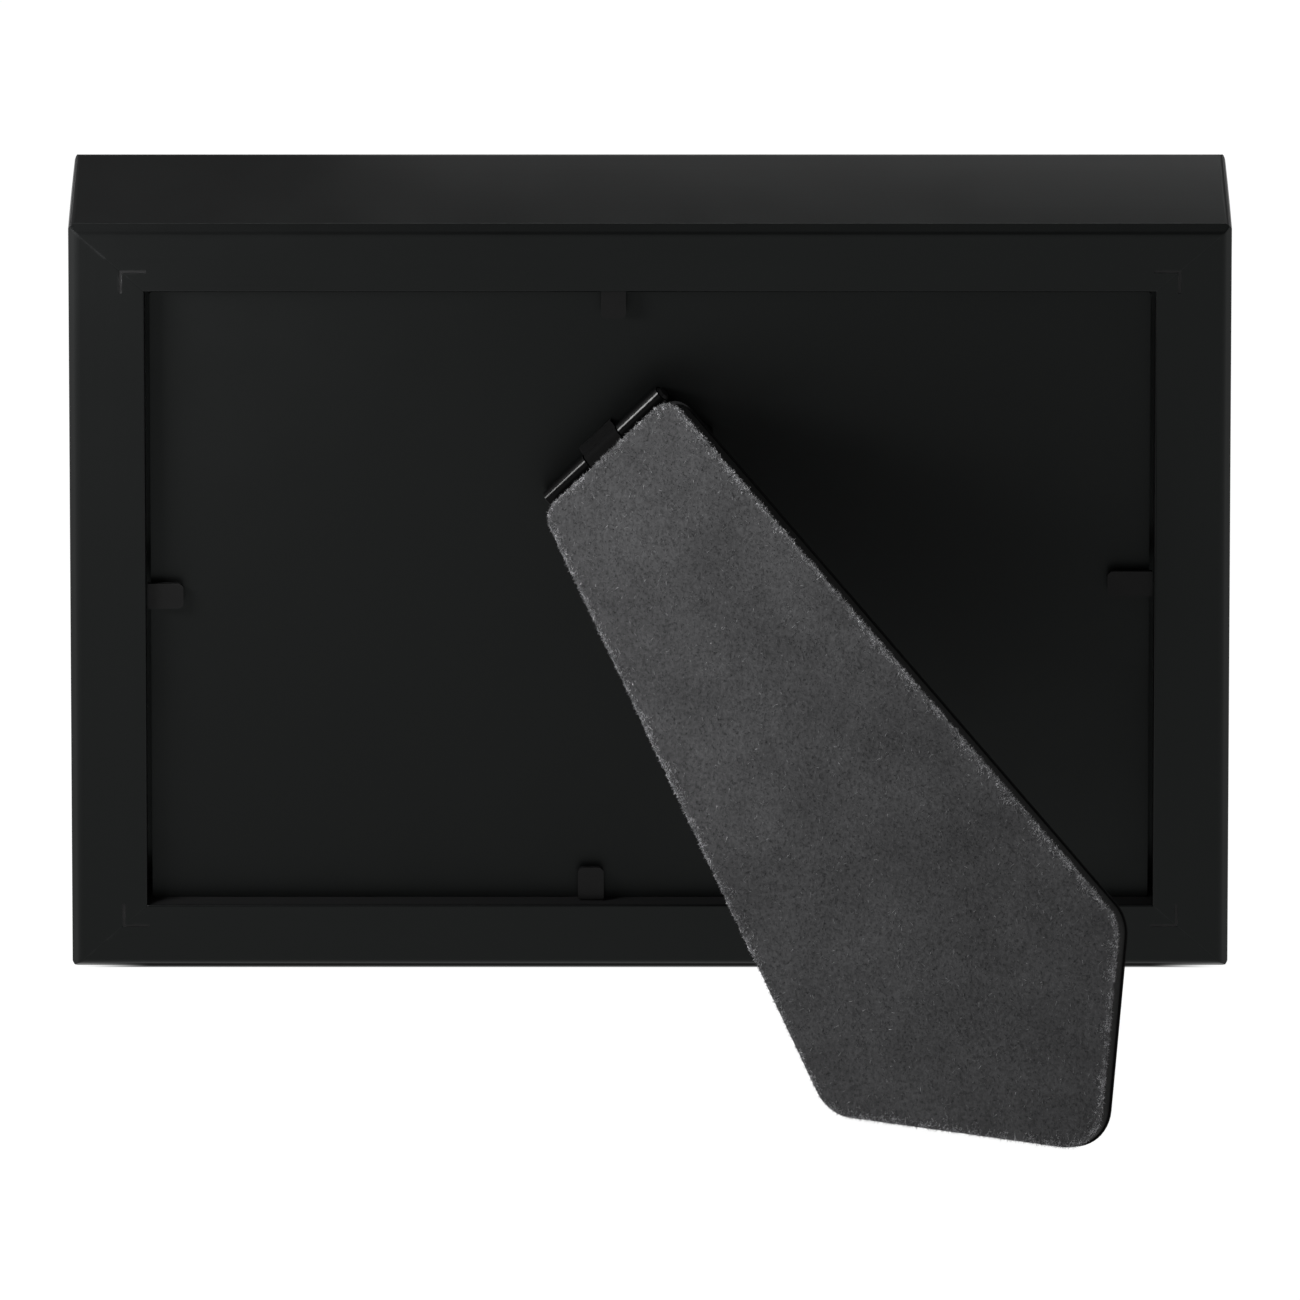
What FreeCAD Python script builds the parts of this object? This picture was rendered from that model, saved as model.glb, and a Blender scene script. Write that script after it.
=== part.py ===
import math
import os

import FreeCAD
import Part

# Frame moulding. Left and right are as seen from the display side.
opening_width = 180.0
opening_height = 129.5
rail_width = 13.5
frame_depth = 28.0
lip_overlap = 6.0
rabbet_depth = 8.8
side_draw = 1.1
side_bulge = 0.14
front_slope = 2.2
back_chamfer = 1.4
back_crease_radius = 0.2
back_roll_radius = 1.6
front_arris_radius = 2.0
sight_arris_radius = 1.0
rabbet_arris_radius = 0.35
side_curve_share = 30.0
corner_radius = 1.7
corner_ease = 0.15

# Sheets that lie in the rabbet, from the display side to the back
glass_thickness = 2.0
insert_thickness = 0.3
filler_thickness = 0.8
board_thickness = 2.4
paper_thickness = 0.3
glass_play = 2.2
insert_play_across = 2.2
insert_play_upward = 3.0
filler_play_across = 2.2
filler_play_upward = 2.6
board_play = 1.8
sheet_corner_radius = 0.5
seat_clearance = 0.03
sheet_gap = 0.01

# Chevron nails across the four mitres
nail_setback = 9.0
nail_arm = 4.8
nail_thickness = 0.5
nail_height = 7.0
nail_sink = 0.08
nail_clearance = 0.02

# Flexible points that hold the board down
tab_thickness = 0.5
tab_tip_radius = 1.1
tab_root_radius = 0.2
tab_gap = 0.3
tab_lift = 0.8
anchor_depth = 5.0
anchor_clearance = 0.03
left_tab_width = 5.2
left_tab_length = 8.0
left_tab_height = 80.6
right_tab_width = 5.2
right_tab_length = 6.4
right_tab_height = 78.0
bottom_tab_width = 4.6
bottom_tab_length = 6.7
bottom_tab_offset = 10.6
top_tab_width = 4.4
top_tab_length = 6.2
top_tab_offset = 6.5

# Diagonal hinge
hinge_turn = 47.8
hinge_offset = 7.8
hinge_height = 109.8
leaf_thickness = 0.75
pin_radius = 0.85
pin_clearance = 0.05
hinge_half_length = 14.9
knuckle_split = 4.25
knuckle_gap = 0.3
curl_start = -90.0
curl_middle = 125.0
curl_end = -20.0
leaf_link = 2.3
leaf_lap = 0.2
leaf_corner_radius = 1.5
board_leaf_reach = 13.0
leg_leaf_reach = 18.0
leg_leaf_half_width = 12.5
pin_head_radius = 1.3
pin_head_length = 0.45
pin_end_gap = 0.05

# Stop toe on the middle knuckle, measured from the axis along the board and up from its face
toe_start = 2.05
toe_reach = 2.75
toe_height = 0.75
toe_neck_start = 0.9
toe_neck_height = 2.2
toe_root_height = 0.8
stop_gap = 0.05
relief_half_width = 1.95
relief_depth = 0.4

# Rivets of both leaves
rivet_radius = 0.9
rivet_clearance = 0.04
rivet_head_radius = 1.9
rivet_rim_radius = 1.5
rivet_head_height = 0.55
rivet_end_gap = 0.15
board_rivet_rows = ((-9.0, 8.5), (0.0, 9.5), (9.0, 8.5))
leg_rivet_rows = ((-8.0, 9.0), (0.0, 14.0), (8.0, 9.0))

# Easel leg, its outline along and out from the hinge
leg_open_angle = 36.0
leg_outline = ((15.4, 2.1), (-18.1, 2.1), (-24.9, 128.4), (6.2, 156.9), (43.4, 118.3))
leg_corner_radii = (4.0, 4.0, 7.5, 7.5, 8.5)
lining_thickness = 0.3
core_thickness = 3.2
cover_thickness = 0.4
core_inset = 0.4
cover_inset = 0.25
layer_gap = 0.01

# Search for the lean at which the frame stands, in degrees
lean_tolerance = 0.002
least_lean = 5.0
most_lean = 18.0

# Length by which every cut runs past the surface that it opens
overrun = 2.0

origin = FreeCAD.Vector(0, 0, 0)
side_axis = FreeCAD.Vector(1, 0, 0)
back_axis = FreeCAD.Vector(0, 1, 0)
up_axis = FreeCAD.Vector(0, 0, 1)

frame_width = opening_width + 2 * rail_width
frame_height = opening_height + 2 * rail_width
glass_width = opening_width - glass_play
glass_height = opening_height - glass_play
insert_width = opening_width - insert_play_across
insert_height = opening_height - insert_play_upward
filler_width = opening_width - filler_play_across
filler_height = opening_height - filler_play_upward
board_width = opening_width - board_play
board_height = opening_height - board_play
knuckle_radius = pin_radius + pin_clearance + leaf_thickness
bore_radius = pin_radius + pin_clearance
paper_back = -rabbet_depth + glass_thickness + insert_thickness + filler_thickness
paper_back = paper_back + board_thickness + paper_thickness + seat_clearance + 4 * sheet_gap
axis_level = paper_back + knuckle_radius
leg_inner_level = knuckle_radius + layer_gap
leg_thickness = lining_thickness + core_thickness + cover_thickness + 2 * layer_gap


def polar(radius, degrees):
    turn = math.radians(degrees)
    return (radius * math.cos(turn), radius * math.sin(turn))


def rounded_face(corners, radii):
    # A flat face with an arc of its own radius at each corner
    arrivals = []
    middles = []
    departures = []
    count = len(corners)
    for index in range(count):
        corner = FreeCAD.Vector(corners[index][0], corners[index][1], 0)
        before = FreeCAD.Vector(corners[index - 1][0], corners[index - 1][1], 0)
        after_index = (index + 1) % count
        after = FreeCAD.Vector(corners[after_index][0], corners[after_index][1], 0)
        backward = (before - corner).normalize()
        forward = (after - corner).normalize()
        half_turn = backward.getAngle(forward) / 2
        reach = radii[index] / math.tan(half_turn)
        bisector = (backward + forward).normalize()
        arrivals.append(corner + backward * reach)
        departures.append(corner + forward * reach)
        middles.append(corner + bisector * (radii[index] / math.sin(half_turn) - radii[index]))
    edges = []
    for index in range(count):
        if radii[index] > 0:
            edges.append(Part.Arc(arrivals[index], middles[index], departures[index]).toShape())
        edges.append(Part.makeLine(departures[index], arrivals[(index + 1) % count]))
    return Part.Face(Part.Wire(edges))


def prism(face, bottom, top):
    solid = face.extrude(up_axis * (top - bottom))
    solid.translate(up_axis * bottom)
    return solid


def block(low, high):
    size = [high[index] - low[index] for index in range(3)]
    return Part.makeBox(size[0], size[1], size[2], FreeCAD.Vector(low[0], low[1], low[2]))


def laid(shape, position, first, second, third):
    # Carries the local x, y and z of a shape onto three given directions
    matrix = FreeCAD.Matrix(
        first.x, second.x, third.x, position.x,
        first.y, second.y, third.y, position.y,
        first.z, second.z, third.z, position.z,
        0, 0, 0, 1,
    )
    moved = shape.copy()
    moved.transformShape(matrix)
    return moved


def corner_waste(length, end):
    # What is sanded off at one end of a rail so that the outer corner of the frame is rounded
    reach = frame_depth + overrun
    waste = block((-overrun, -overrun, -overrun), (corner_radius, corner_radius, reach))
    start = FreeCAD.Vector(corner_radius, corner_radius, -2 * overrun)
    waste = waste.cut(Part.makeCylinder(corner_radius, reach + 3 * overrun, start))
    along = FreeCAD.Vector(-end * side_draw, -frame_depth, side_draw).normalize()
    second = along.cross(side_axis if end < 0 else up_axis).normalize()
    position = FreeCAD.Vector(end * (length / 2 + corner_ease), 0, -corner_ease)
    return laid(waste, position, second.cross(along), second, along)


def rail(length, half_span, turn):
    # One mitred length of moulding, made as the bottom rail and turned to its side of the frame
    sight = rail_width + lip_overlap
    corners = (
        (back_chamfer, 0),
        (0, -back_chamfer),
        (side_draw / 2 - side_bulge, -frame_depth / 2),
        (side_draw, -frame_depth),
        (sight, front_slope - frame_depth),
        (sight, -rabbet_depth),
        (rail_width, -rabbet_depth),
        (rail_width, 0),
    )
    radii = (
        back_roll_radius,
        back_crease_radius,
        frame_depth * side_curve_share,
        front_arris_radius,
        sight_arris_radius,
        0,
        0,
        rabbet_arris_radius,
    )
    stick = prism(rounded_face(corners, radii), -length / 2, length / 2)
    stick = laid(stick, origin, up_axis, back_axis, -side_axis)
    inner = sight + overrun
    trapezoid = (
        (-length / 2, 0),
        (length / 2, 0),
        (length / 2 - inner, inner),
        (inner - length / 2, inner),
    )
    mitre = prism(rounded_face(trapezoid, (0, 0, 0, 0)), -overrun, frame_depth + overrun)
    mitre = laid(mitre, origin, side_axis, up_axis, -back_axis)
    piece = stick.common(mitre)
    piece = piece.cut([corner_waste(length, end) for end in (-1, 1)])
    piece.translate(up_axis * -half_span)
    piece.rotate(origin, back_axis, turn)
    piece.translate(up_axis * (frame_height / 2))
    return piece


def chevron(side, level, growth, rise):
    # One nail, its point toward the corner of the frame; grown, it is the slot for the nail
    near = nail_setback - growth
    far = nail_setback + nail_arm + growth
    inside = nail_setback + nail_thickness + growth
    steps = ((near, near), (far, near), (far, inside), (inside, inside), (inside, far), (near, far))
    corners = []
    for step in steps:
        across = side * (frame_width / 2 - step[0])
        upward = frame_height / 2 + level * (frame_height / 2 - step[1])
        corners.append((across, upward))
    depth = nail_sink + nail_height + growth
    solid = prism(rounded_face(corners, (0, 0, 0, 0, 0, 0)), rise - nail_sink, depth)
    return laid(solid, origin, side_axis, up_axis, -back_axis)


def all_chevrons(growth, rise):
    return [chevron(side, level, growth, rise) for side in (-1, 1) for level in (-1, 1)]


def sheet(width, height, low, high):
    # A sheet standing on the bottom wall of the rabbet
    bottom = rail_width + seat_clearance
    corners = (
        (-width / 2, bottom),
        (width / 2, bottom),
        (width / 2, bottom + height),
        (-width / 2, bottom + height),
    )
    radii = (sheet_corner_radius,) * 4
    solid = prism(rounded_face(corners, radii), -high, -low)
    return laid(solid, origin, side_axis, up_axis, -back_axis)


def tab_frame(shape, wall_point, inward):
    return laid(shape, wall_point, inward.cross(back_axis), inward, back_axis)


def tab_blade(width, length, wall_point, inward):
    # The flat point that lies over the board, rounded at its tip
    low = paper_back + tab_lift
    corners = (
        (-width / 2, tab_gap),
        (width / 2, tab_gap),
        (width / 2, tab_gap + length),
        (-width / 2, tab_gap + length),
    )
    radii = (tab_root_radius, tab_root_radius, tab_tip_radius, tab_tip_radius)
    solid = prism(rounded_face(corners, radii), low, low + tab_thickness)
    return tab_frame(solid, wall_point, inward)


def tab_anchor(width, wall_point, inward, growth, mouth):
    # The end of the point that is driven into the wall of the rabbet; grown, it is its slot
    low = paper_back + tab_lift
    solid = block(
        (-width / 2 - growth, -anchor_depth - growth, low - growth),
        (width / 2 + growth, mouth, low + tab_thickness + growth),
    )
    return tab_frame(solid, wall_point, inward)


def curled_leaf_face(side):
    # Section of a leaf whose end is curled round the pin, lying below the axis for side one
    outer_start = polar(knuckle_radius, curl_start)
    outer_middle = polar(knuckle_radius, curl_middle)
    outer_end = polar(knuckle_radius, curl_end)
    inner_start = polar(bore_radius, curl_start)
    inner_middle = polar(bore_radius, curl_middle)
    inner_end = polar(bore_radius, curl_end)
    link_end = leaf_link + leaf_lap
    names = (
        outer_start,
        outer_middle,
        outer_end,
        inner_end,
        inner_middle,
        inner_start,
        (link_end, -bore_radius),
        (link_end, -knuckle_radius),
    )
    points = [FreeCAD.Vector(0, point[0], point[1] * side) for point in names]
    edges = [
        Part.Arc(points[0], points[1], points[2]).toShape(),
        Part.makeLine(points[2], points[3]),
        Part.Arc(points[3], points[4], points[5]).toShape(),
        Part.makeLine(points[5], points[6]),
        Part.makeLine(points[6], points[7]),
        Part.makeLine(points[7], points[0]),
    ]
    return Part.Face(Part.Wire(edges))


def knuckle(side, start, end):
    solid = curled_leaf_face(side).extrude(side_axis * (end - start))
    solid.translate(side_axis * start)
    return solid


def leaf_plate(half_width, reach, low, high):
    corners = (
        (-half_width, leaf_link),
        (half_width, leaf_link),
        (half_width, reach),
        (-half_width, reach),
    )
    radii = (0, 0, leaf_corner_radius, leaf_corner_radius)
    return prism(rounded_face(corners, radii), low, high)


def pierced(shape, rows, radius, low, high):
    result = shape
    for row in rows:
        hole = Part.makeCylinder(radius, high - low, FreeCAD.Vector(row[0], row[1], low))
        result = result.cut(hole)
    return result


def board_leaf():
    # Two outer knuckles on one plate that lies on the board
    first = knuckle(1, -hinge_half_length, -knuckle_split - knuckle_gap / 2)
    second = knuckle(1, knuckle_split + knuckle_gap / 2, hinge_half_length)
    plate = leaf_plate(hinge_half_length, board_leaf_reach, -knuckle_radius, -bore_radius)
    leaf = plate.fuse([first, second]).removeSplitter()
    hole_radius = rivet_radius + rivet_clearance
    return pierced(leaf, board_rivet_rows, hole_radius, -knuckle_radius - overrun, overrun)


def toe_point(reach, height):
    # A point given along the board from the axis and up from the face of the board, leg open
    turn = math.radians(leg_open_angle)
    rise = height - knuckle_radius
    outward = rise * math.sin(turn) - reach * math.cos(turn)
    normal = rise * math.cos(turn) + reach * math.sin(turn)
    return FreeCAD.Vector(0, outward, normal)


def stop_toe(half_width):
    # Lug on the middle knuckle whose flat foot meets the board when the leg is open
    points = [
        toe_point(toe_start, stop_gap),
        toe_point(toe_reach, stop_gap),
        toe_point(toe_reach, toe_height),
        toe_point(toe_neck_start, toe_neck_height),
        toe_point(toe_neck_start, toe_root_height),
    ]
    face = Part.Face(Part.makePolygon(points + [points[0]]))
    solid = face.extrude(side_axis * (2 * half_width))
    solid.translate(side_axis * -half_width)
    return solid


def leg_leaf():
    # Middle knuckle with its stop toe on one plate that carries the leg
    half_width = knuckle_split - knuckle_gap / 2
    middle = knuckle(-1, -half_width, half_width)
    toe = stop_toe(half_width)
    bore_start = FreeCAD.Vector(-half_width - overrun, 0, 0)
    bore = Part.makeCylinder(bore_radius, 2 * (half_width + overrun), bore_start, side_axis)
    plate = leaf_plate(leg_leaf_half_width, leg_leaf_reach, bore_radius, knuckle_radius)
    leaf = plate.fuse([middle, toe.cut(bore)]).removeSplitter()
    hole_radius = rivet_radius + rivet_clearance
    return pierced(leaf, leg_rivet_rows, hole_radius, -overrun, knuckle_radius + overrun)


def hinge_pin():
    # Plain shaft with a peened head at each end
    half_length = hinge_half_length + pin_end_gap
    start = FreeCAD.Vector(-half_length, 0, 0)
    shaft = Part.makeCylinder(pin_radius, 2 * half_length, start, side_axis)
    heads = []
    for direction in (-1, 1):
        base = FreeCAD.Vector(direction * half_length, 0, 0)
        heads.append(Part.makeCone(pin_head_radius, pin_radius, pin_head_length, base, side_axis * direction))
    return shaft.fuse(heads)


def rivet(place, seat, end, direction):
    # Low domed head on the leaf and a shank that runs away from it
    base = FreeCAD.Vector(place[0], place[1], seat)
    head = Part.makeCone(rivet_head_radius, rivet_rim_radius, rivet_head_height, base, up_axis * direction)
    shank = Part.makeCylinder(rivet_radius, abs(end - seat), base, up_axis * -direction)
    return head.fuse(shank)


def leg_sheet(inset, low, high):
    face = rounded_face(leg_outline, leg_corner_radii)
    if inset > 0:
        face = face.makeOffset2D(-inset)
    return prism(face, low, high)


def leg_layers():
    # Lining toward the frame, then a stiff core and the cover, each set in a little at its edges
    lining_top = leg_inner_level + lining_thickness
    core_low = lining_top + layer_gap
    core_top = core_low + core_thickness
    cover_low = core_top + layer_gap
    hole_radius = rivet_radius + rivet_clearance
    lining = leg_sheet(0, leg_inner_level, lining_top)
    lining = pierced(lining, leg_rivet_rows, hole_radius, 0, core_top)
    core = leg_sheet(core_inset, core_low, core_top)
    core = pierced(core, leg_rivet_rows, hole_radius, 0, core_top - rivet_end_gap)
    cover = leg_sheet(cover_inset, cover_low, cover_low + cover_thickness)
    return lining, core, cover


def hinge_frame(shape, opening):
    # Carries hinge shapes onto the frame, opened about the pin by an angle
    moved = shape.copy()
    moved.rotate(origin, side_axis, opening)
    turn = math.radians(hinge_turn)
    along = FreeCAD.Vector(math.cos(turn), 0, -math.sin(turn))
    outward = FreeCAD.Vector(-math.sin(turn), 0, -math.cos(turn))
    position = FreeCAD.Vector(hinge_offset, axis_level, hinge_height)
    return laid(moved, position, along, outward, back_axis)


def height_leaning(shape, lean):
    moved = shape.copy()
    moved.rotate(origin, side_axis, -lean)
    return moved.optimalBoundingBox(False, False).ZMin


def resting_lean(rail_shape, foot_shape, low, high):
    # Lean at which the bottom rail and the foot of the leg both stand on the floor
    while high - low > lean_tolerance:
        middle = (low + high) / 2
        if height_leaning(foot_shape, middle) > height_leaning(rail_shape, middle):
            low = middle
        else:
            high = middle
    return (low + high) / 2


def build():
    pieces = {}
    nodes = (
        ("bottom_rail", frame_width, frame_height / 2, 0),
        ("left_rail", frame_height, frame_width / 2, 90),
        ("top_rail", frame_width, frame_height / 2, 180),
        ("right_rail", frame_height, frame_width / 2, 270),
    )
    for name, length, half_span, turn in nodes:
        pieces[name] = rail(length, half_span, turn)

    left_wall = FreeCAD.Vector(-opening_width / 2, 0, left_tab_height)
    right_wall = FreeCAD.Vector(opening_width / 2, 0, right_tab_height)
    bottom_wall = FreeCAD.Vector(bottom_tab_offset, 0, rail_width)
    top_wall = FreeCAD.Vector(top_tab_offset, 0, frame_height - rail_width)
    tabs = (
        ("left_tab", left_tab_width, left_tab_length, left_wall, side_axis, "left_rail"),
        ("right_tab", right_tab_width, right_tab_length, right_wall, -side_axis, "right_rail"),
        ("bottom_tab", bottom_tab_width, bottom_tab_length, bottom_wall, up_axis, "bottom_rail"),
        ("top_tab", top_tab_width, top_tab_length, top_wall, -up_axis, "top_rail"),
    )
    anchors = []
    for name, width, length, wall, inward, rail_name in tabs:
        pieces[name] = tab_blade(width, length, wall, inward)
        anchors.append(tab_anchor(width, wall, inward, 0, 0))
        slot = tab_anchor(width, wall, inward, anchor_clearance, overrun)
        pieces[rail_name] = pieces[rail_name].cut(slot)
    pieces["tab_anchors"] = Part.makeCompound(anchors)

    slots = all_chevrons(nail_clearance, -overrun)
    for name, length, half_span, turn in nodes:
        pieces[name] = pieces[name].cut(slots)
    pieces["corner_v_nails"] = Part.makeCompound(all_chevrons(0, 2 * nail_sink))

    glass_low = -rabbet_depth + seat_clearance
    insert_low = glass_low + glass_thickness + sheet_gap
    filler_low = insert_low + insert_thickness + sheet_gap
    board_low = filler_low + filler_thickness + sheet_gap
    paper_low = board_low + board_thickness + sheet_gap
    pieces["glass_pane"] = sheet(glass_width, glass_height, glass_low, glass_low + glass_thickness)
    pieces["photo_insert"] = sheet(insert_width, insert_height, insert_low, insert_low + insert_thickness)
    pieces["filler_card"] = sheet(filler_width, filler_height, filler_low, filler_low + filler_thickness)
    board = sheet(board_width, board_height, board_low, board_low + board_thickness)
    paper = sheet(board_width, board_height, paper_low, paper_back)

    half_split = knuckle_split + knuckle_gap / 2
    relief = block(
        (-half_split, -relief_half_width, -knuckle_radius - relief_depth),
        (half_split, relief_half_width, 0),
    )
    board_end = board_low - axis_level
    drills = []
    for row in board_rivet_rows:
        base = FreeCAD.Vector(row[0], row[1], board_end - overrun)
        drills.append(Part.makeCylinder(rivet_radius + rivet_clearance, rabbet_depth, base))
    cutters = [hinge_frame(cutter, 0) for cutter in [relief] + drills]
    pieces["back_board"] = board.cut(cutters)
    pieces["back_board_paper"] = paper.cut(cutters)

    pieces["hinge_board_leaf"] = hinge_frame(board_leaf(), 0)
    pieces["hinge_pin"] = hinge_frame(hinge_pin(), 0)
    board_seat = -bore_radius
    board_shank_end = board_end + rivet_end_gap
    rivets = [rivet(row, board_seat, board_shank_end, 1) for row in board_rivet_rows]
    pieces["hinge_board_rivets"] = hinge_frame(Part.makeCompound(rivets), 0)

    lining, core, cover = leg_layers()
    core_top = leg_inner_level + leg_thickness - cover_thickness - layer_gap
    leg_shank_end = core_top - 2 * rivet_end_gap
    rivets = [rivet(row, bore_radius, leg_shank_end, -1) for row in leg_rivet_rows]
    pieces["hinge_leg_leaf"] = hinge_frame(leg_leaf(), leg_open_angle)
    pieces["hinge_leg_rivets"] = hinge_frame(Part.makeCompound(rivets), leg_open_angle)
    pieces["leg_lining"] = hinge_frame(lining, leg_open_angle)
    pieces["leg_core"] = hinge_frame(core, leg_open_angle)
    pieces["leg_flock_cover"] = hinge_frame(cover, leg_open_angle)
    return pieces


def stood_up(pieces):
    # Leans the frame back onto its leg and puts the origin under the middle of the whole
    lean = resting_lean(pieces["bottom_rail"], pieces["leg_lining"], least_lean, most_lean)
    for piece in pieces.values():
        piece.rotate(origin, side_axis, -lean)
    box = Part.makeCompound(list(pieces.values())).optimalBoundingBox(False, False)
    shift = FreeCAD.Vector(-(box.XMin + box.XMax) / 2, -(box.YMin + box.YMax) / 2, -box.ZMin)
    for piece in pieces.values():
        piece.translate(shift)
    print("lean", lean)
    print("shift", shift)
    print("size", box.XLength, box.YLength, box.ZLength)
    return pieces


os.makedirs("parts", exist_ok=True)
for node, shape in stood_up(build()).items():
    shape.exportStep("parts/" + node + ".step")
    print(node, len(shape.Solids), shape.isValid(), shape.Volume)
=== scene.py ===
import math

import bpy
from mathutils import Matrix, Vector


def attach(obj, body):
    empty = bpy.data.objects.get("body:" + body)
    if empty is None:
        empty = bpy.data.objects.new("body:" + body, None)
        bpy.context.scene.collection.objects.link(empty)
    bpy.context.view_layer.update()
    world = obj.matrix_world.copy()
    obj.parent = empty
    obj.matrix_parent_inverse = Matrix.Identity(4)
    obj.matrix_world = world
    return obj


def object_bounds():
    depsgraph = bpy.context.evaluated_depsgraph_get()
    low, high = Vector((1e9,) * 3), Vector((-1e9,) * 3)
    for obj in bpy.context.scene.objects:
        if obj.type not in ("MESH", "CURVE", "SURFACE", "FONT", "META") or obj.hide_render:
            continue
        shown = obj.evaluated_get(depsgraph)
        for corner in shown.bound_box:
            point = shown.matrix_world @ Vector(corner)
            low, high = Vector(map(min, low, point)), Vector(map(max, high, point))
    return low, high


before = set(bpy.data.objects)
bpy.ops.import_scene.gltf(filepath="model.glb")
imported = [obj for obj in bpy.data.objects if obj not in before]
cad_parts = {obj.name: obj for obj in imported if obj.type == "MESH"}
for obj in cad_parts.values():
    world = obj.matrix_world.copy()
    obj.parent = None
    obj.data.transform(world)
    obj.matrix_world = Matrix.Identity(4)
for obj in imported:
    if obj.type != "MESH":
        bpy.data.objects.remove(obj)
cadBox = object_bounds()
print("frame loaded")

# The panel frame: X across, depth out of the back, height up the leaning back face
leanAngle = math.radians(11.28973)
panelOrigin = Vector((0, -0.03498130, -0.00028856))
outerWidth = 0.207
outerHeight = 0.1565
railWidth = 0.0135


def panelPoint(across, depth, height):
    c, s = math.cos(leanAngle), math.sin(leanAngle)
    return panelOrigin + Vector((across, depth * c + height * s, height * c - depth * s))


class Graph:
    # Small helper that adds nodes to a material and wires them
    def __init__(self, name):
        self.material = bpy.data.materials.new(name)
        self.material.use_nodes = True
        self.tree = self.material.node_tree
        self.tree.nodes.clear()
        self.output = self.add("ShaderNodeOutputMaterial")
        self.shader = self.add("ShaderNodeBsdfPrincipled")
        self.tree.links.new(self.shader.outputs[0], self.output.inputs[0])

    def add(self, kind, **settings):
        node = self.tree.nodes.new(kind)
        for key, value in settings.items():
            setattr(node, key, value)
        return node

    def feed(self, socket, value):
        # Wires another node in, or sets a plain value on the socket; None leaves it alone
        if isinstance(value, bpy.types.NodeSocket):
            self.tree.links.new(value, socket)
        elif value is not None:
            socket.default_value = value

    def math(self, operation, first, second=None, third=None, clamp=False):
        node = self.add("ShaderNodeMath", operation=operation, use_clamp=clamp)
        for index, value in enumerate((first, second, third)):
            self.feed(node.inputs[index], value)
        return node.outputs[0]

    def linear(self, value, gain, offset):
        return self.math("MULTIPLY_ADD", value, gain, offset)

    def scaled(self, color, amount):
        node = self.add("ShaderNodeVectorMath", operation="SCALE")
        self.feed(node.inputs[0], color[:3])
        self.feed(node.inputs["Scale"], amount)
        return node.outputs[0]

    def place(self):
        return self.add("ShaderNodeTexCoord").outputs["Object"]

    def stretched(self, vector, scale, turn=(0, 0, 0)):
        node = self.add("ShaderNodeMapping")
        self.feed(node.inputs["Vector"], vector)
        node.inputs["Rotation"].default_value = turn
        node.inputs["Scale"].default_value = scale
        return node.outputs[0]

    def noise(self, vector, scale, detail, roughness):
        node = self.add("ShaderNodeTexNoise")
        self.feed(node.inputs["Vector"], vector)
        node.inputs["Scale"].default_value = scale
        node.inputs["Detail"].default_value = detail
        node.inputs["Roughness"].default_value = roughness
        return node.outputs["Fac"]

    def ramp(self, value, low, high, start=0.0, end=1.0, smooth=True):
        node = self.add("ShaderNodeMapRange")
        node.interpolation_type = "SMOOTHSTEP" if smooth else "LINEAR"
        self.feed(node.inputs["Value"], value)
        node.inputs["From Min"].default_value = low
        node.inputs["From Max"].default_value = high
        node.inputs["To Min"].default_value = start
        node.inputs["To Max"].default_value = end
        return node.outputs["Result"]

    def mix(self, amount, first, second):
        node = self.add("ShaderNodeMix", data_type="RGBA")
        self.feed(node.inputs[0], amount)
        self.feed(node.inputs[6], first)
        self.feed(node.inputs[7], second)
        return node.outputs[2]

    def bump(self, height, strength, distance):
        node = self.add("ShaderNodeBump")
        self.feed(node.inputs["Height"], height)
        node.inputs["Strength"].default_value = strength
        node.inputs["Distance"].default_value = distance
        return node.outputs[0]

    def edges(self, radius, samples=6):
        # How far a bevelled normal turns from the true one: bright along arrises
        bevel = self.add("ShaderNodeBevel", samples=samples)
        bevel.inputs["Radius"].default_value = radius
        true = self.add("ShaderNodeNewGeometry").outputs["Normal"]
        same = self.add("ShaderNodeVectorMath", operation="DOT_PRODUCT")
        self.feed(same.inputs[0], bevel.outputs[0])
        self.feed(same.inputs[1], true)
        return self.math("SUBTRACT", 1.0, same.outputs["Value"], clamp=True)

    def panel(self):
        # Object coordinates turned into the panel's own across, depth and height
        moved = self.add("ShaderNodeMapping")
        moved.vector_type = "TEXTURE"
        self.feed(moved.inputs["Vector"], self.place())
        moved.inputs["Location"].default_value = panelOrigin
        moved.inputs["Rotation"].default_value = (-leanAngle, 0, 0)
        split = self.add("ShaderNodeSeparateXYZ")
        self.feed(split.inputs[0], moved.outputs[0])
        return moved.outputs[0], split.outputs[0], split.outputs[1], split.outputs[2]

    def finish(self, color, roughness, normal=None, **sockets):
        inputs = self.shader.inputs
        self.feed(inputs["Base Color"], color)
        self.feed(inputs["Roughness"], roughness)
        self.feed(inputs["Normal"], normal)
        for key, value in sockets.items():
            inputs[key.replace("_", " ")].default_value = value
        return self.material


def grey(value, tint=0.0):
    return (value, value, value * (1 + tint), 1)


# The shine of the black lacquer and paper is very slightly green
coolBlack = (0.92, 1.0, 0.975, 1)

# Satin black lacquer on the four rails
mouldingLook = {
    "tone": grey(0.0011, 0.04),
    "mitreTone": grey(0.0006),
    "mitreStrength": 0.75,
    "wearTone": grey(0.02, 0.02),
    "wearStrength": 0.3,
    # Paler tone for the opening's walls: painted fill light that lifts the shade in the recess
    "paintedLightWallTone": grey(0.005, 0.02),
    "roughest": 0.34,
    "smoothest": 0.29,
    "specular": 0.125,
    "relief": 0.22,
    "reliefDepth": 0.00006,
}


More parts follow.
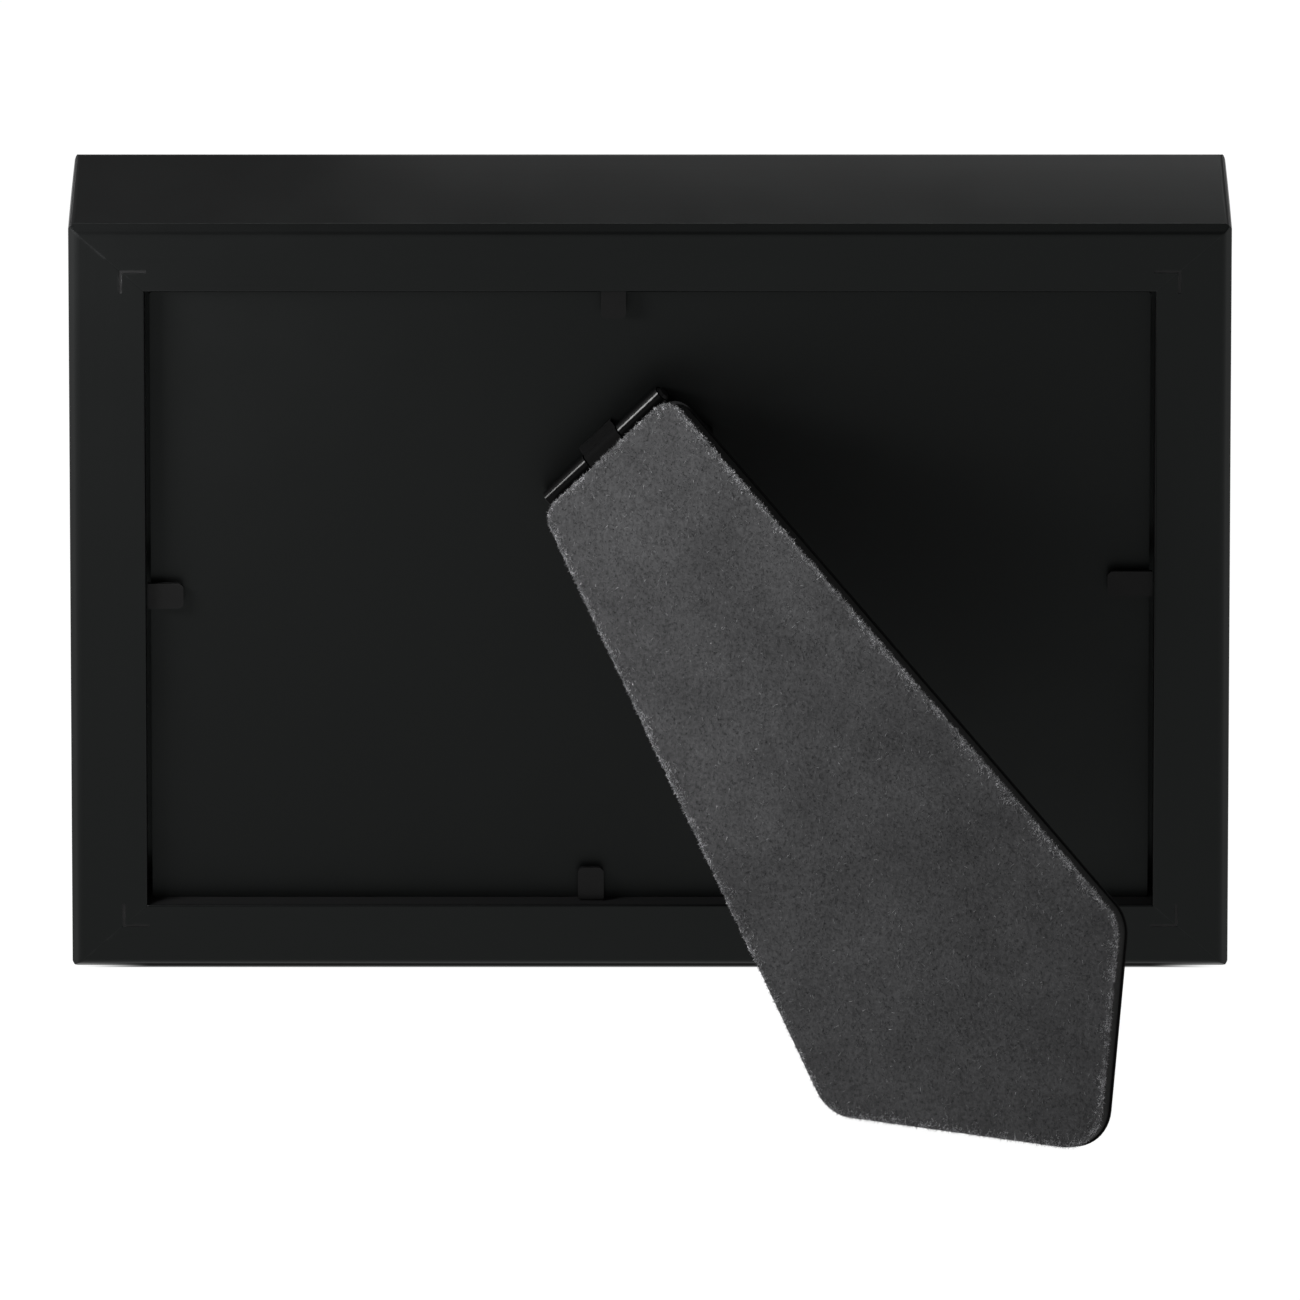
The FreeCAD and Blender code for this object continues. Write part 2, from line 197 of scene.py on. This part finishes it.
def mouldingMaterial(name, stretch):
    g = Graph(name)
    look = mouldingLook
    panel, across, depth, height = g.panel()
    grain = g.noise(g.stretched(panel, stretch), scale=1.0, detail=4.0, roughness=0.6)
    speck = g.noise(panel, scale=2600, detail=2.0, roughness=0.6)
    cloud = g.noise(panel, scale=26, detail=3.0, roughness=0.6)
    tone = g.linear(cloud, gain=0.35, offset=0.82)
    tone = g.math("MULTIPLY", tone, g.ramp(grain, low=0.3, high=0.7, start=0.94, end=1.07))
    base = g.scaled(look["tone"], tone)

    # The mitre shows as a hair line where the two grains meet
    sideways = g.math("SUBTRACT", outerWidth / 2, g.math("ABSOLUTE", across))
    fromMiddle = g.math("ABSOLUTE", g.math("SUBTRACT", height, outerHeight / 2))
    upward = g.math("SUBTRACT", outerHeight / 2, fromMiddle)
    off = g.math("ABSOLUTE", g.math("SUBTRACT", sideways, upward))
    joint = g.ramp(off, low=0.00004, high=0.00022, start=1.0, end=0.0)
    base = g.mix(g.math("MULTIPLY", joint, look["mitreStrength"]), base, look["mitreTone"])

    # The arrises are worn here and there
    wear = g.ramp(g.edges(radius=0.0009), low=0.03, high=0.4)
    patches = g.noise(panel, scale=240, detail=4.0, roughness=0.7)
    wear = g.math("MULTIPLY", wear, g.ramp(patches, low=0.46, high=0.66))
    base = g.mix(g.math("MULTIPLY", wear, look["wearStrength"]), base, look["wearTone"])

    # The walls of the opening are painted paler: painted fill light that lifts the shade in the recess
    inner = g.math("MINIMUM", sideways, upward)
    paintedLightWall = g.ramp(inner, low=railWidth - 0.0002, high=railWidth - 0.0001)
    paintedLightWall = g.math("MULTIPLY", paintedLightWall, g.ramp(depth, low=-0.0006, high=-0.0002, start=1.0, end=0.0))
    base = g.mix(paintedLightWall, base, look["paintedLightWallTone"])

    sheen = g.noise(panel, scale=60, detail=4.0, roughness=0.6)
    rough = g.ramp(sheen, low=0.3, high=0.7, start=look["smoothest"], end=look["roughest"])
    relief = g.linear(grain, gain=0.5, offset=g.math("MULTIPLY", speck, 0.5))
    relief = g.linear(joint, gain=-3.0, offset=relief)
    normal = g.bump(relief, look["relief"], look["reliefDepth"])
    return g.finish(
        base, rough, normal, Specular_IOR_Level=look["specular"], Specular_Tint=coolBlack
    )


insertLook = {
    "value": 0.74,
    "fibre": 0.25,
    "specular": 0.3,
    "tint": 0.0,
}
backPaperLook = {
    "value": 0.0012,
    "fibre": 1.0,
    "specular": 0.115,
    "tint": 0.03,
}


def paperMaterial(name, value, fibre, specular, tint):
    g = Graph(name)
    place = g.place()
    fine = g.noise(g.stretched(place, scale=(1, 0.45, 1)), scale=3200, detail=3.0, roughness=0.65)
    cloud = g.noise(place, scale=34, detail=4.0, roughness=0.6)
    swing = 0.1 * fibre
    tone = g.linear(fine, gain=0.22 * fibre, offset=0.89 - 0.03 * fibre)
    broad = g.ramp(cloud, low=0.25, high=0.75, start=1 - swing, end=1 + swing)
    tone = g.math("MULTIPLY", tone, broad)
    base = g.scaled(grey(value, tint), tone)
    normal = g.bump(fine, strength=0.3, distance=0.00005)
    rough = g.ramp(cloud, low=0.3, high=0.7, start=0.46, end=0.56)
    return g.finish(base, rough, normal, Specular_IOR_Level=specular, Specular_Tint=coolBlack)


fillerColor = (0.36, 0.30, 0.22)
backBoardColor = (0.012, 0.0115, 0.011)
legCoreColor = (0.006, 0.006, 0.006)


def boardMaterial(name, color):
    g = Graph(name)
    place = g.place()
    layered = g.stretched(place, scale=(60, 2600, 60), turn=(-leanAngle, 0, 0))
    layers = g.noise(layered, scale=1.0, detail=3.0, roughness=0.6)
    fibre = g.noise(place, scale=1800, detail=4.0, roughness=0.7)
    tone = g.linear(fibre, gain=0.4, offset=0.55)
    tone = g.linear(layers, gain=0.5, offset=tone)
    base = g.scaled(color, tone)
    rough = g.ramp(fibre, low=0.3, high=0.7, start=0.8, end=0.92)
    normal = g.bump(fibre, strength=0.5, distance=0.0001)
    return g.finish(base, rough, normal, Specular_IOR_Level=0.2)


# The steel parts. Only the rivets are bare metal; the others are black or dark and shade as a coat
nailLook = {
    "value": 0.004,
    "roughness": 0.5,
    "wearValue": 0.12,
    "wearAmount": 0.7,
    "specular": 0.15,
    "edge": 0.0002,
}
boardLeafLook = {
    "value": 0.0015,
    "roughness": 0.16,
    "wearValue": 0.02,
    "wearAmount": 0.3,
    "specular": 0.04,
    "relief": 0.5,
}
legLeafLook = {
    "value": 0.0012,
    "roughness": 0.8,
    "wearValue": 0.01,
    "wearAmount": 0.3,
    "specular": 0.03,
}
pinLook = {
    "value": 0.004,
    "roughness": 0.4,
    "wearValue": 0.03,
    "wearAmount": 0.5,
    "specular": 0.1,
}
rivetLook = {
    "value": 0.3,
    "roughness": 0.4,
    "wearValue": 0.5,
    "wearAmount": 0.8,
    "specular": 0.5,
    "metallic": 1.0,
}
tabLook = {
    "value": 0.0018,
    "roughness": 0.5,
    "wearValue": 0.02,
    "wearAmount": 0.4,
    "specular": 0.11,
}
anchorLook = {
    "value": 0.004,
    "roughness": 0.6,
    "wearValue": 0.05,
    "wearAmount": 0.4,
    "specular": 0.12,
}


def metalMaterial(
    name,
    value,
    roughness,
    wearValue,
    wearAmount,
    specular,
    metallic=0.0,
    edge=0.0003,
    relief=0.15,
):
    g = Graph(name)
    place = g.place()
    brushed = g.noise(g.stretched(place, scale=(500, 4000, 500)), scale=1.0, detail=3.0, roughness=0.6)
    cloud = g.noise(place, scale=300, detail=4.0, roughness=0.65)
    tone = g.linear(cloud, gain=0.5, offset=0.72)
    base = g.scaled(grey(value, 0.02), tone)
    arris = g.ramp(g.edges(edge), low=0.05, high=0.5)
    wear = g.math("MULTIPLY", arris, g.ramp(cloud, low=0.4, high=0.62))
    wear = g.math("MULTIPLY", wear, wearAmount)
    base = g.mix(wear, base, grey(wearValue, 0.02))
    polish = g.linear(wear, gain=-0.15, offset=roughness - 0.08)
    rough = g.linear(brushed, gain=0.16, offset=polish)
    normal = g.bump(brushed, relief, distance=0.00003)
    return g.finish(base, rough, normal, Metallic=metallic, Specular_IOR_Level=specular)


coverLook = {
    "value": 0.034,
    "edgeLift": 1.0,
}
liningLook = {
    "value": 0.006,
    "edgeLift": 0.2,
}


def flockMaterial(name, value, edgeLift):
    # Short felted pile: a fine fleck, soft clouds, and a paler worn rim
    g = Graph(name)
    place = g.place()
    fleck = g.noise(place, scale=1500, detail=3.0, roughness=0.75)
    cloud = g.noise(place, scale=90, detail=4.0, roughness=0.65)
    broad = g.noise(place, scale=18, detail=2.0, roughness=0.5)
    tone = g.ramp(fleck, low=0.2, high=0.8, start=0.5, end=1.5, smooth=False)
    tone = g.math("MULTIPLY", tone, g.ramp(cloud, low=0.25, high=0.75, start=0.84, end=1.16))
    tone = g.math("MULTIPLY", tone, g.ramp(broad, low=0.25, high=0.75, start=0.93, end=1.07))
    rim = g.ramp(g.edges(radius=0.0016, samples=8), low=0.01, high=0.25)
    patches = g.noise(place, scale=420, detail=5.0, roughness=0.75)
    rim = g.math("MULTIPLY", rim, g.ramp(patches, low=0.32, high=0.62))
    tone = g.linear(g.math("MULTIPLY", rim, edgeLift), gain=0.8, offset=tone)
    base = g.scaled(grey(value, 0.03), tone)
    normal = g.bump(fleck, strength=0.8, distance=0.00022)
    return g.finish(base, 0.95, normal, Specular_IOR_Level=0.06)


def pileMaterial(name, value):
    # Each hair has its own tone, and hairs near the cut edge are paler
    g = Graph(name)
    tone = g.add("ShaderNodeAttribute", attribute_name="tone").outputs["Fac"]
    rim = g.add("ShaderNodeAttribute", attribute_name="rim").outputs["Fac"]
    place = g.place()
    cloud = g.noise(place, scale=90, detail=4.0, roughness=0.65)
    bright = g.math("POWER", tone, 2.2)
    bright = g.linear(bright, gain=1.9, offset=0.38)
    fleck = g.noise(place, scale=1500, detail=3.0, roughness=0.7)
    bright = g.math("MULTIPLY", bright, g.ramp(fleck, low=0.34, high=0.66, start=0.5, end=1.55))
    bright = g.math("MULTIPLY", bright, g.ramp(cloud, low=0.25, high=0.75, start=0.84, end=1.16))
    patches = g.noise(place, scale=500, detail=4.0, roughness=0.7)
    nearEdge = g.ramp(rim, low=0.0002, high=0.002, start=1.0, end=0.0)
    fray = g.math("MULTIPLY", nearEdge, g.ramp(patches, low=0.38, high=0.6))
    bright = g.linear(fray, gain=1.4, offset=bright)
    base = g.scaled(grey(value, 0.03), bright)
    return g.finish(base, 0.9, Specular_IOR_Level=0.06)


glassLook = {
    "color": (0.93, 0.97, 0.95, 1),
    "refraction": 1.5,
    "roughest": 0.015,
}


def glassMaterial(name, color, refraction, roughest):
    g = Graph(name)
    place = g.place()
    smear = g.noise(place, scale=22, detail=4.0, roughness=0.6)
    rough = g.ramp(smear, low=0.35, high=0.75, start=0.0, end=roughest)
    waves = g.noise(place, scale=12, detail=1.0, roughness=0.4)
    normal = g.bump(waves, strength=0.03, distance=0.0004)
    return g.finish(color, rough, normal, IOR=refraction, Transmission_Weight=1.0)


# The grain runs along each rail
lacquerAcross = mouldingMaterial("mouldingAcross", stretch=(30, 900, 900))
lacquerUp = mouldingMaterial("mouldingUp", stretch=(900, 900, 30))
nodeMaterials = {
    "top_rail": lacquerAcross,
    "bottom_rail": lacquerAcross,
    "left_rail": lacquerUp,
    "right_rail": lacquerUp,
    "corner_v_nails": metalMaterial("nailSteel", **nailLook),
    "glass_pane": glassMaterial("paneGlass", **glassLook),
    "photo_insert": paperMaterial("insertPaper", **insertLook),
    "filler_card": boardMaterial("fillerCard", fillerColor),
    "back_board": boardMaterial("backBoard", backBoardColor),
    "back_board_paper": paperMaterial("backPaper", **backPaperLook),
    "hinge_board_leaf": metalMaterial("hingeLacquer", **boardLeafLook),
    "hinge_leg_leaf": metalMaterial("leafPhosphate", **legLeafLook),
    "hinge_pin": metalMaterial("pinSteel", **pinLook),
    "hinge_board_rivets": metalMaterial("rivetSteel", **rivetLook),
    "leg_core": boardMaterial("legCore", legCoreColor),
    "leg_flock_cover": flockMaterial("legFlock", **coverLook),
    "leg_lining": flockMaterial("legLining", **liningLook),
    "left_tab": metalMaterial("tabSteel", **tabLook),
    "tab_anchors": metalMaterial("anchorSteel", **anchorLook),
}
nodeMaterials["hinge_leg_rivets"] = nodeMaterials["hinge_board_rivets"]
for tabName in ("right_tab", "bottom_tab", "top_tab"):
    nodeMaterials[tabName] = nodeMaterials["left_tab"]
for nodeName, material in nodeMaterials.items():
    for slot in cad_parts[nodeName].material_slots:
        slot.material = material
print("materials set")

# How the tree finds a sheet's cut edge, thins the hairs in patches and varies each hair
pileRule = {
    "mergeDistance": 0.000002,
    "sharpAngle": 1.0,
    "patchScale": 350.0,
    "patchGain": 2.6,
    "patchOffset": -0.75,
    "patchSeed": 3,
    "hairSides": 3,
    "shortest": 0.55,
    "longest": 1.2,
    "toneSeed": 5,
}


def numberInput(tree, name, kind, value):
    socket = tree.interface.new_socket(name, in_out="INPUT", socket_type=kind)
    socket.default_value = value
    return socket.identifier


def pileTree(rule):
    # Hairs scattered on a sheet, each tilted and toned at random, with its distance from the cut edge
    tree = bpy.data.node_groups.new("pileTree", "GeometryNodeTree")
    tree.interface.new_socket("Sheet", in_out="INPUT", socket_type="NodeSocketGeometry")
    names = {
        "density": numberInput(tree, "Density", "NodeSocketFloat", 1.0),
        "length": numberInput(tree, "Length", "NodeSocketFloat", 0.001),
        "radius": numberInput(tree, "Radius", "NodeSocketFloat", 0.001),
        "tilt": numberInput(tree, "Tilt", "NodeSocketFloat", 1.0),
        "reach": numberInput(tree, "Reach", "NodeSocketFloat", 1.0e6),
        "seed": numberInput(tree, "Seed", "NodeSocketInt", 1),
    }
    materialSocket = tree.interface.new_socket("Finish", in_out="INPUT", socket_type="NodeSocketMaterial")
    names["finish"] = materialSocket.identifier
    tree.interface.new_socket("Pile", in_out="OUTPUT", socket_type="NodeSocketGeometry")
    links = tree.links

    def node(kind, **settings):
        made = tree.nodes.new(kind)
        for key, value in settings.items():
            setattr(made, key, value)
        return made

    inlet = node("NodeGroupInput")
    outlet = node("NodeGroupOutput")
    scatter = node("GeometryNodeDistributePointsOnFaces", distribute_method="RANDOM")
    links.new(inlet.outputs["Sheet"], scatter.inputs["Mesh"])
    links.new(inlet.outputs["Density"], scatter.inputs["Density"])
    links.new(inlet.outputs["Seed"], scatter.inputs["Seed"])

    # The sheet comes as loose triangles, so they are joined before its sharp edges are found
    joined = node("GeometryNodeMergeByDistance")
    joined.inputs["Distance"].default_value = rule["mergeDistance"]
    links.new(inlet.outputs["Sheet"], joined.inputs["Geometry"])
    angle = node("GeometryNodeInputMeshEdgeAngle")
    sharp = node("FunctionNodeCompare", data_type="FLOAT", operation="GREATER_THAN")
    links.new(angle.outputs["Unsigned Angle"], sharp.inputs[0])
    sharp.inputs[1].default_value = rule["sharpAngle"]
    border = node("GeometryNodeSeparateGeometry", domain="EDGE")
    links.new(joined.outputs[0], border.inputs["Geometry"])
    links.new(sharp.outputs[0], border.inputs["Selection"])
    near = node("GeometryNodeProximity", target_element="EDGES")
    links.new(border.outputs["Selection"], near.inputs[0])

    # Hairs farther from the edge than their own share of the reach are dropped
    patch = node("ShaderNodeTexNoise")
    patch.inputs["Scale"].default_value = rule["patchScale"]
    share = node("ShaderNodeMath", operation="MULTIPLY_ADD")
    links.new(patch.outputs[0], share.inputs[0])
    share.inputs[1].default_value = rule["patchGain"]
    share.inputs[2].default_value = rule["patchOffset"]
    chance = node("FunctionNodeRandomValue", data_type="FLOAT")
    chance.inputs["Seed"].default_value = rule["patchSeed"]
    drop = node("ShaderNodeMath", operation="MULTIPLY")
    links.new(share.outputs[0], drop.inputs[0])
    links.new(chance.outputs[1], drop.inputs[1])
    limit = node("ShaderNodeMath", operation="MULTIPLY")
    links.new(inlet.outputs["Reach"], limit.inputs[0])
    links.new(drop.outputs[0], limit.inputs[1])
    beyond = node("FunctionNodeCompare", data_type="FLOAT", operation="GREATER_THAN")
    links.new(near.outputs["Distance"], beyond.inputs[0])
    links.new(limit.outputs[0], beyond.inputs[1])
    thin = node("GeometryNodeDeleteGeometry", domain="POINT")
    links.new(scatter.outputs["Points"], thin.inputs["Geometry"])
    links.new(beyond.outputs[0], thin.inputs["Selection"])

    hair = node("GeometryNodeMeshCone", fill_type="NONE")
    hair.inputs["Vertices"].default_value = rule["hairSides"]
    hair.inputs["Radius Top"].default_value = 0.0
    links.new(inlet.outputs["Radius"], hair.inputs["Radius Bottom"])
    links.new(inlet.outputs["Length"], hair.inputs["Depth"])

    # Each hair leans by up to the tilt either way
    lean = node("FunctionNodeRandomValue", data_type="FLOAT_VECTOR")
    low = node("ShaderNodeCombineXYZ")
    high = node("ShaderNodeCombineXYZ")
    flip = node("ShaderNodeMath", operation="MULTIPLY")
    links.new(inlet.outputs["Tilt"], flip.inputs[0])
    flip.inputs[1].default_value = -1.0
    for axis in (0, 1):
        links.new(flip.outputs[0], low.inputs[axis])
        links.new(inlet.outputs["Tilt"], high.inputs[axis])
    links.new(low.outputs[0], lean.inputs["Min"])
    links.new(high.outputs[0], lean.inputs["Max"])
    turned = node("FunctionNodeRotateEuler", rotation_type="EULER", space="LOCAL")
    links.new(scatter.outputs["Rotation"], turned.inputs["Rotation"])
    links.new(lean.outputs["Value"], turned.inputs["Rotate By"])

    grow = node("FunctionNodeRandomValue", data_type="FLOAT")
    grow.inputs[2].default_value = rule["shortest"]
    grow.inputs[3].default_value = rule["longest"]
    place = node("GeometryNodeInstanceOnPoints")
    links.new(thin.outputs[0], place.inputs["Points"])
    links.new(hair.outputs["Mesh"], place.inputs["Instance"])
    links.new(turned.outputs[0], place.inputs["Rotation"])
    links.new(grow.outputs[1], place.inputs["Scale"])

    tone = node("FunctionNodeRandomValue", data_type="FLOAT")
    tone.inputs["Seed"].default_value = rule["toneSeed"]
    keepTone = node("GeometryNodeStoreNamedAttribute", data_type="FLOAT", domain="INSTANCE")
    keepTone.inputs["Name"].default_value = "tone"
    links.new(place.outputs[0], keepTone.inputs["Geometry"])
    links.new(tone.outputs[1], keepTone.inputs["Value"])
    keepRim = node("GeometryNodeStoreNamedAttribute", data_type="FLOAT", domain="INSTANCE")
    keepRim.inputs["Name"].default_value = "rim"
    links.new(keepTone.outputs[0], keepRim.inputs["Geometry"])
    links.new(near.outputs["Distance"], keepRim.inputs["Value"])

    real = node("GeometryNodeRealizeInstances")
    dress = node("GeometryNodeSetMaterial")
    links.new(keepRim.outputs[0], real.inputs[0])
    links.new(real.outputs[0], dress.inputs["Geometry"])
    links.new(inlet.outputs["Finish"], dress.inputs["Material"])
    links.new(dress.outputs[0], outlet.inputs["Pile"])
    return tree, names


def growPile(name, sheetName, body, settings):
    # Runs the tree on a copy of a sheet's mesh and keeps the hairs alone
    seedObject = bpy.data.objects.new(name + "Sheet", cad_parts[sheetName].data.copy())
    bpy.context.collection.objects.link(seedObject)
    modifier = seedObject.modifiers.new("pile", "NODES")
    modifier.node_group = pileGroup
    for key, value in settings.items():
        modifier[pileNames[key]] = value
    graph = bpy.context.evaluated_depsgraph_get()
    graph.update()
    mesh = bpy.data.meshes.new_from_object(seedObject.evaluated_get(graph))
    bpy.data.objects.remove(seedObject)
    mesh.name = name
    pile = bpy.data.objects.new(name, mesh)
    bpy.context.collection.objects.link(pile)
    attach(pile, body)
    print(name, len(mesh.polygons), "faces")


pileGroup, pileNames = pileTree(pileRule)
coverPile = {
    "density": 4.3e6,
    "length": 0.0005,
    "radius": 0.000036,
    "tilt": 1.25,
    "seed": 7,
    "finish": pileMaterial("pileHair", value=0.038),
}
# Longer lint that lies on the cover
coverLint = {
    "density": 5.0e5,
    "length": 0.0009,
    "radius": 0.00004,
    "tilt": 1.5,
    "seed": 21,
    "finish": pileMaterial("lintHair", value=0.1),
}
# The frayed rim along the cover's cut edge
rimPile = {
    "density": 3.0e7,
    "length": 0.0006,
    "radius": 0.00004,
    "tilt": 1.3,
    "reach": 0.0028,
    "seed": 33,
    "finish": pileMaterial("rimHair", value=0.13),
}
# The lining's pile is cut short, so that it clears the rails when the leg is folded
liningPile = {
    "density": 2.4e6,
    "length": 0.0002,
    "radius": 0.000036,
    "tilt": 1.25,
    "seed": 11,
    "finish": pileMaterial("liningHair", value=0.006),
}
growPile("coverPile", "leg_flock_cover", "easel_leg", coverPile)
growPile("coverLint", "leg_flock_cover", "easel_leg", coverLint)
growPile("rimPile", "leg_flock_cover", "easel_leg", rimPile)
growPile("liningPile", "leg_lining", "easel_leg", liningPile)

# The floor. The contact shadow keeps a small share of the glow, and its soft edges are lengths:
# toward the front as shares of the frame's depth on the floor, beside and behind it in metres.
floorLook = {
    "size": 60.0,
    "drop": 0.0001,
    "tone": grey(0.05),
    "roughness": 0.9,
    "specular": 0.1,
    "shadowGlow": 0.03,
    "frontStart": 0.08,
    "frontEnd": 0.8,
    "sideStart": -0.014,
    "sideEnd": -0.001,
    "backStart": 0.001,
    "backEnd": 0.0002,
}
footDepth = panelOrigin.y - cadBox[0][1]


def floorMaterial(look):
    # A glowing pale floor, with a contact shadow where the bottom rail stands, soft toward the front
    g = Graph("paleFloor")
    split = g.add("ShaderNodeSeparateXYZ")
    g.feed(split.inputs[0], g.place())
    beside = g.math("SUBTRACT", g.math("ABSOLUTE", split.outputs[0]), outerWidth / 2)
    ahead = g.math("SUBTRACT", panelOrigin.y, split.outputs[1])
    dark = look["shadowGlow"]
    front = g.ramp(ahead, footDepth * look["frontStart"], footDepth * look["frontEnd"], start=dark)
    side = g.ramp(beside, look["sideStart"], look["sideEnd"], start=dark)
    back = g.ramp(ahead, look["backStart"], look["backEnd"], start=dark)
    glow = g.math("MAXIMUM", g.math("MAXIMUM", front, side), back)
    g.feed(g.shader.inputs["Emission Strength"], glow)
    return g.finish(
        look["tone"],
        look["roughness"],
        Specular_IOR_Level=look["specular"],
        Emission_Color=(1, 1, 1, 1),
    )


def addFloor(look):
    mesh = bpy.data.meshes.new("floor")
    half = look["size"] / 2
    corners = [(-half, -half), (half, -half), (half, half), (-half, half)]
    mesh.from_pydata([(x, y, -look["drop"]) for x, y in corners], [], [(0, 1, 2, 3)])
    mesh.materials.append(floorMaterial(look))
    floor = bpy.data.objects.new("floor", mesh)
    bpy.context.collection.objects.link(floor)


addFloor(floorLook)

# The lights. Each one is a soft panel, wide by tall, that faces its target.
frontPanel = {
    "location": (0.0, -0.55, 1.60),
    "target": panelPoint(0.0, 0.0, outerHeight / 2),
    "wide": 0.5,
    "tall": 0.5,
    "power": 7.0,
}
topStrip = {
    "location": (-0.045, -0.114, 0.205),
    "target": panelPoint(-0.03, -0.026, outerHeight),
    "wide": 0.2,
    "tall": 0.012,
    "power": 0.019,
}
upperPanel = {
    "location": (0.0, 0.68, 0.885),
    "target": panelPoint(0.0, 0.0, outerHeight),
    "wide": 0.6,
    "tall": 0.35,
    "power": 0.5,
}
keyLamp = {
    "location": (0.185, 0.055, 0.169),
    "target": panelPoint(-0.01, 0.01, 0.09),
    "wide": 0.055,
    "tall": 0.055,
    "power": 1.08,
}
sidePanel = {
    "location": (-0.76, 0.26, 0.36),
    "target": panelPoint(0.0, 0.0, 0.10),
    "wide": 0.24,
    "tall": 0.24,
    "power": 0.4,
}
worldStrength = 0.27


def addLight(name, location, target, wide, tall, power):
    data = bpy.data.lights.new(name, "AREA")
    data.shape = "RECTANGLE"
    data.size = wide
    data.size_y = tall
    data.energy = power
    light = bpy.data.objects.new(name, data)
    light.location = location
    light.rotation_euler = (target - Vector(location)).to_track_quat("-Z", "Y").to_euler()
    bpy.context.collection.objects.link(light)


addLight("frontPanel", **frontPanel)
addLight("topStrip", **topStrip)
addLight("upperPanel", **upperPanel)
addLight("keyLamp", **keyLamp)
addLight("sidePanel", **sidePanel)

world = bpy.data.worlds.new("studio")
bpy.context.scene.world = world
world.use_nodes = True
background = world.node_tree.nodes["Background"]
background.inputs["Color"].default_value = (1, 1, 1, 1)
background.inputs["Strength"].default_value = worldStrength

# The camera, at the photograph's angle: square to the back, not rolled, looking down on it. Much
# farther off than this, views from other sides are empty, beyond their own clipping distance.
cameraLook = {
    "rise": math.radians(21.01),
    "distance": 10.5,
    "pictureWidth": 0.2330,
    "aimHeight": 0.0572,
    "sensorWidth": 36,
    "clipStart": 0.1,
    "clipEnd": 100,
}


def addCamera(rise, distance, pictureWidth, aimHeight, sensorWidth, clipStart, clipEnd):
    imageUp = Vector((0, -math.sin(rise), math.cos(rise)))
    towardCamera = Vector((0, math.cos(rise), math.sin(rise)))
    aim = panelPoint(0, 0, 0) + imageUp * aimHeight
    data = bpy.data.cameras.new("camera")
    data.sensor_width = sensorWidth
    data.lens = sensorWidth * distance / pictureWidth
    data.clip_start = clipStart
    data.clip_end = clipEnd
    camera = bpy.data.objects.new("camera", data)
    camera.location = aim + towardCamera * distance
    camera.rotation_euler = (aim - camera.location).to_track_quat("-Z", "Y").to_euler()
    bpy.context.collection.objects.link(camera)
    bpy.context.scene.camera = camera


addCamera(**cameraLook)
bpy.context.scene.view_settings.view_transform = "Standard"
print("stage and camera set")
